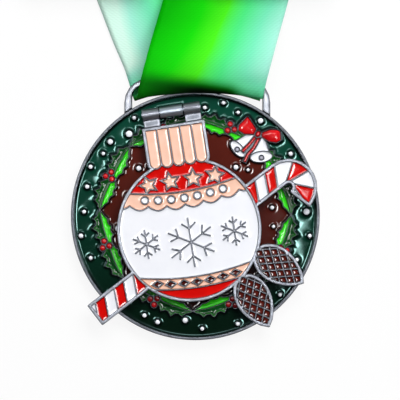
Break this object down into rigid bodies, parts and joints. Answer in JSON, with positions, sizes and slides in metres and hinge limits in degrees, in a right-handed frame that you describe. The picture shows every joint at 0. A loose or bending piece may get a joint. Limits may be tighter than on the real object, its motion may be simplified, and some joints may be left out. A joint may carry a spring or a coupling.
{
  "type": "finisher medal",
  "caption": "Round enamelled finisher medal with a hinged front cover over a wreath and a wide folded neck ribbon through its slot.",
  "frame": {"origin": "middle of the round base's back face", "axes": "+Z out of the front, +Y towards the ribbon slot, +X to the right seen from the front"},
  "size_m": [0.0952, 0.1652, 0.0096],
  "materials": {
    "cast_metal": "satin",
    "hinge_metal": "satin",
    "green_enamel": "gloss",
    "brown_enamel": "gloss",
    "leaf_light_enamel": "gloss",
    "leaf_dark_enamel": "gloss",
    "berry_enamel": "gloss",
    "bow_enamel": "gloss",
    "red_enamel": "gloss",
    "white_enamel": "gloss",
    "grey_enamel": "gloss",
    "peach_enamel": "gloss",
    "ribbon_satin": "satin",
    "stitch_thread": "matte",
    "band_paper": "matte"
  },
  "bodies": {
    "base": {"base_plate": "cast_metal", "middle_knuckle": "hinge_metal", "green_field": "green_enamel", "brown_field": "brown_enamel", "leaf_light": "leaf_light_enamel", "leaf_dark": "leaf_dark_enamel", "berries": "berry_enamel", "snow_dots": "white_enamel", "bells": "white_enamel", "bell_clappers": "grey_enamel", "bow": "bow_enamel", "ribbon_loop": "ribbon_satin", "ribbon_bundle_right": "ribbon_satin", "ribbon_bundle_left": "ribbon_satin", "ribbon_bands": "band_paper", "neck_stitches": "stitch_thread"},
    "cover": {"cover_plate": "cast_metal", "hinge_pin": "hinge_metal", "cap_flutes": "peach_enamel", "ornament_red": "red_enamel", "ornament_bands": "peach_enamel", "ornament_white": "white_enamel", "ornament_stars": "peach_enamel", "band_beads": "white_enamel", "band_lozenges": "brown_enamel", "cane_red": "red_enamel", "cane_white": "white_enamel", "pine_cones": "brown_enamel"}
  },
  "joints": [
    {"name": "cover_hinge", "type": "hinge", "parent": "base", "child": "cover", "pos_m": [-0.00736, 0.03186, 0.00495], "axis": [-0.9885, -0.1513, 0], "range_deg": [0, 160]}
  ]
}
